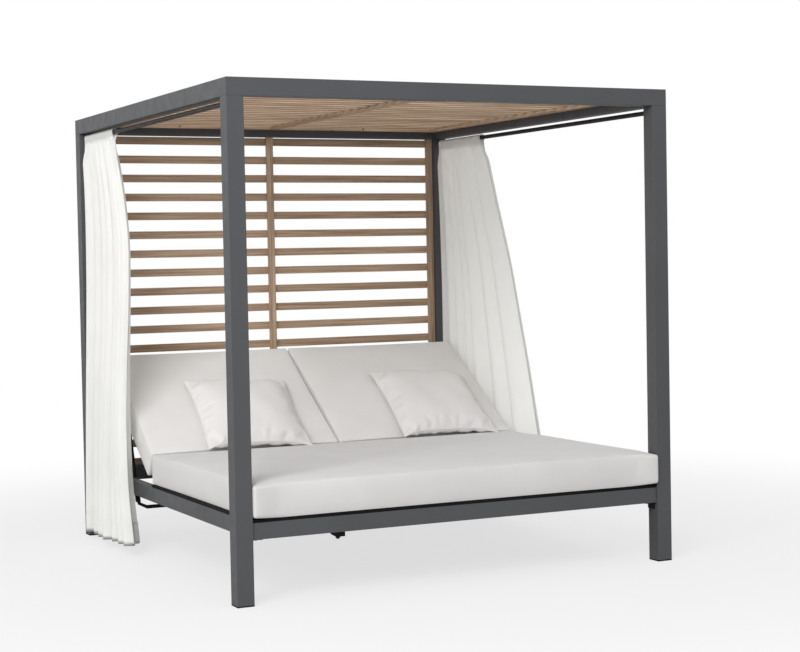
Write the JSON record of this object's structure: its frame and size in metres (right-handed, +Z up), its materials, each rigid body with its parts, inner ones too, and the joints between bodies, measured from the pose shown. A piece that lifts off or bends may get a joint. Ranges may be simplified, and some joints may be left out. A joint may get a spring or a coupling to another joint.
{
  "type": "outdoor daybed with canopy",
  "caption": "Outdoor daybed with square posts, slatted wooden canopy and back panel, seat mattress, two tilting backrests on props, and sliding side curtains.",
  "frame": {"origin": "on the floor under the middle of the frame", "axes": "+Z up, -Y the open front, +X the right-hand side seen from the front"},
  "size_m": [2.079, 2.13, 2.03],
  "materials": {
    "anthracite_aluminium": "satin powder coat, anthracite grey",
    "black_plastic": "matt moulded black",
    "black_steel": "satin black powder coat",
    "black_slat_wood": "matt black stained wood",
    "teak_wood": "light oiled wood, straight grain",
    "cushion_canvas": "plain weave, light warm grey",
    "curtain_voile": "light plain curtain cloth, near white"
  },
  "bodies": {
    "bed_frame": {"post_front_left": "anthracite_aluminium", "post_front_right": "anthracite_aluminium", "post_back_left": "anthracite_aluminium", "post_back_right": "anthracite_aluminium", "beam_front": "anthracite_aluminium", "beam_back": "anthracite_aluminium", "beam_left": "anthracite_aluminium", "beam_right": "anthracite_aluminium", "rail_front": "anthracite_aluminium", "rail_back": "anthracite_aluminium", "rail_left": "anthracite_aluminium", "rail_right": "anthracite_aluminium", "centre_bearer": "anthracite_aluminium", "foot_cap_front_left": "black_plastic", "foot_cap_front_right": "black_plastic", "foot_cap_back_left": "black_plastic", "foot_cap_back_right": "black_plastic", "clamp_block": "black_plastic", "deck_slats": "black_slat_wood", "rail_bracket_front_left": "black_steel", "rail_bracket_front_right": "black_steel", "rail_bracket_back_left": "black_steel", "rail_bracket_back_right": "black_steel", "bracket_bolt_front_left": "black_steel", "bracket_bolt_front_right": "black_steel", "bracket_bolt_back_left": "black_steel", "bracket_bolt_back_right": "black_steel", "clamp_bolt": "black_steel", "roof_screw_left": "black_steel", "roof_screw_right": "black_steel", "curtain_rod_left": "black_steel", "curtain_rod_right": "black_steel", "rod_socket_front_left": "black_steel", "rod_socket_front_right": "black_steel", "rod_socket_back_left": "black_steel", "rod_socket_back_right": "black_steel", "hinge_rod": "black_steel", "guide_plate_left_outer": "black_steel", "guide_plate_left_inner": "black_steel", "guide_plate_right_outer": "black_steel", "guide_plate_right_inner": "black_steel", "roof_panel": "teak_wood", "roof_batten_left": "teak_wood", "roof_batten_right": "teak_wood", "back_panel": "teak_wood", "back_batten_left": "teak_wood", "back_batten_right": "teak_wood", "seat_mattress": "cushion_canvas"},
    "backrest_left": {"backrest_frame_left": "black_steel", "prop_rod_left": "black_steel"},
    "backrest_right": {"backrest_frame_right": "black_steel", "prop_rod_right": "black_steel"},
    "cushion_left": {"back_cushion_left": "cushion_canvas", "pillow_left": "cushion_canvas"},
    "cushion_right": {"back_cushion_right": "cushion_canvas", "pillow_right": "cushion_canvas"},
    "prop_bail_left": {"prop_left": "black_steel"},
    "prop_bail_right": {"prop_right": "black_steel"},
    "curtain_slide_left": {"curtain_left": "curtain_voile"},
    "curtain_slide_right": {"curtain_right": "curtain_voile"}
  },
  "joints": [
    {"name": "backrest_left_tilt", "type": "hinge", "parent": "bed_frame", "child": "backrest_left", "pos_m": [0, 0.248, 0.2885], "axis": [1, 0, 0], "range_deg": [-33.5, 0]},
    {"name": "backrest_right_tilt", "type": "hinge", "parent": "bed_frame", "child": "backrest_right", "pos_m": [0, 0.248, 0.2885], "axis": [1, 0, 0], "range_deg": [-33.5, 0]},
    {"name": "cushion_left_slip", "type": "slide", "parent": "backrest_left", "child": "cushion_left", "axis": [0, 0.8339, 0.5519], "range_m": [-0.1058, 0]},
    {"name": "cushion_right_slip", "type": "slide", "parent": "backrest_right", "child": "cushion_right", "axis": [0, 0.8339, 0.5519], "range_m": [-0.1058, 0]},
    {"name": "prop_left_swing", "type": "hinge", "parent": "backrest_left", "child": "prop_bail_left", "pos_m": [0, 0.75735, 0.66401], "axis": [1, 0, 0], "range_deg": [-33.5, 0]},
    {"name": "prop_right_swing", "type": "hinge", "parent": "backrest_right", "child": "prop_bail_right", "pos_m": [0, 0.75735, 0.66401], "axis": [1, 0, 0], "range_deg": [-33.5, 0]},
    {"name": "curtain_left_slide", "type": "slide", "parent": "bed_frame", "child": "curtain_slide_left", "axis": [0, -1, 0], "range_m": [0, 1.2]},
    {"name": "curtain_right_slide", "type": "slide", "parent": "bed_frame", "child": "curtain_slide_right", "axis": [0, -1, 0], "range_m": [0, 0.85]}
  ],
  "couplings": [
    {"joint": "cushion_left_slip", "follows": "backrest_left_tilt", "m_per_rad": 0.18069},
    {"joint": "prop_left_swing", "follows": "backrest_left_tilt", "ratio": 1},
    {"joint": "cushion_right_slip", "follows": "backrest_right_tilt", "m_per_rad": 0.18069},
    {"joint": "prop_right_swing", "follows": "backrest_right_tilt", "ratio": 1}
  ]
}
